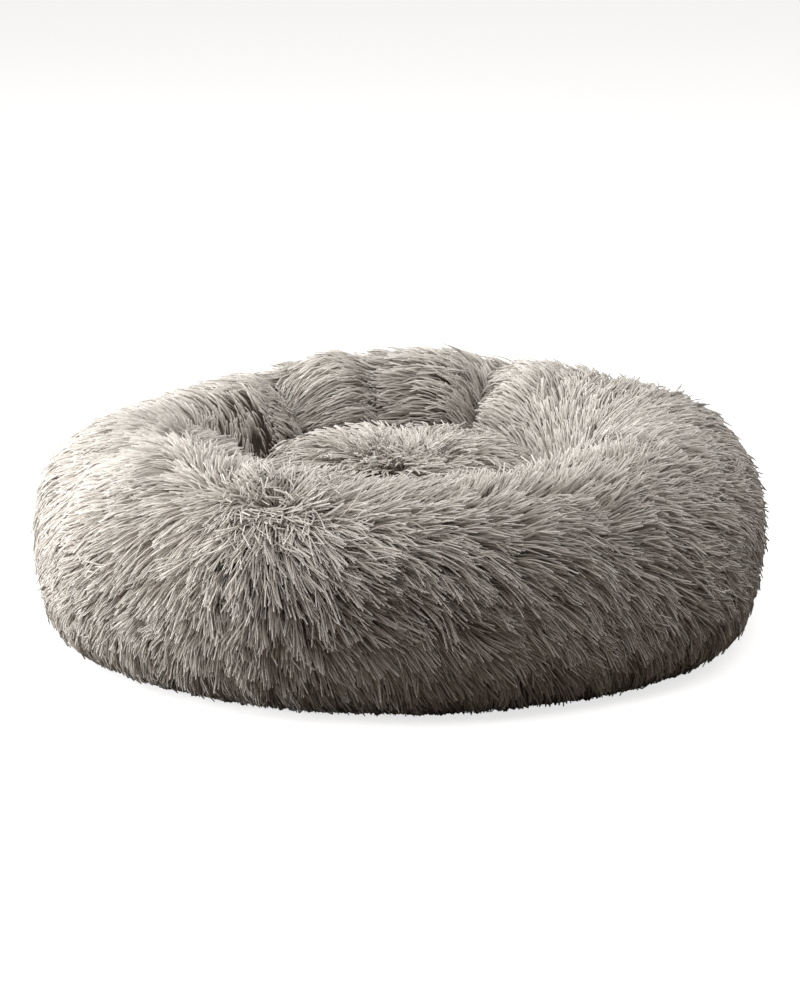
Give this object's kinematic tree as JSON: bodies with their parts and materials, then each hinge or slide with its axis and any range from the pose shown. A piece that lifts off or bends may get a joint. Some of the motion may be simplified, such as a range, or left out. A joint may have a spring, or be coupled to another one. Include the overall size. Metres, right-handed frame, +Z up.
{
  "type": "round plush pet cushion bed",
  "caption": "Round long-pile plush pet bed: a fat ring bolster round a domed loose pad in its nest, on a flat dotted base cloth with a zip.",
  "frame": {"origin": "centre of the bed's round outline, on the floor it stands on", "axes": "+Z up through the middle of the nest, -Y towards the front; six seams cross the ring, the first at 2 degrees from +X, and the zip goes round the back from 10 to 170 degrees"},
  "size_m": [0.6, 0.6, 0.188],
  "materials": {
    "fur": "long warm-grey plush pile, light tips over a dark knit",
    "lining_cloth": "thin plain-woven polyester",
    "fibre_fill": "loose white polyester fibre",
    "base_cloth": "dark taupe oxford weave",
    "dot_rubber": "matt printed rubber",
    "zip_tape": "woven tape",
    "zip_coil": "nylon monofilament",
    "zip_metal": "plated, lightly worn",
    "label_cloth": "folded satin tape, blank",
    "button_plastic": "moulded shank button",
    "thread": "waxed upholstery twine"
  },
  "bodies": {
    "root": {"bolster_fur_front": "fur", "bolster_fur_front_right": "fur", "bolster_fur_back_right": "fur", "bolster_fur_back": "fur", "bolster_fur_back_left": "fur", "bolster_fur_front_left": "fur", "bolster_lining": "lining_cloth", "bolster_fibre_fill": "fibre_fill", "base_cloth": "base_cloth", "grip_dots": "dot_rubber", "base_wadding": "fibre_fill", "nest_floor_cloth": "lining_cloth", "zip_tape_inner": "zip_tape", "zip_tape_outer": "zip_tape", "zip_coil_inner": "zip_coil", "zip_coil_outer": "zip_coil", "zip_end_stops": "zip_metal", "plain_hem": "base_cloth", "care_label": "label_cloth"},
    "pad": {"pad_fur_top": "fur", "pad_under_cloth": "base_cloth", "pad_fibre_fill": "fibre_fill", "tuft_button": "button_plastic", "tuft_back_button": "button_plastic", "tuft_thread": "thread"},
    "slider": {"zip_slider": "zip_metal"},
    "pull": {"zip_pull": "zip_metal"}
  },
  "joints": [
    {"name": "pad_lift", "type": "slide", "parent": "root", "child": "pad", "axis": [0, 0, 1], "range_m": [0, 0.22]},
    {"name": "zip_run", "type": "hinge", "parent": "root", "child": "slider", "pos_m": [0, 0, 0.0064], "axis": [0, 0, 1], "range_deg": [0, 153]},
    {"name": "pull_swing", "type": "hinge", "parent": "slider", "child": "pull", "pos_m": [0.22859, 0.05451, 0.002], "axis": [-0.9727, -0.232, 0], "range_deg": [0, 160]}
  ]
}
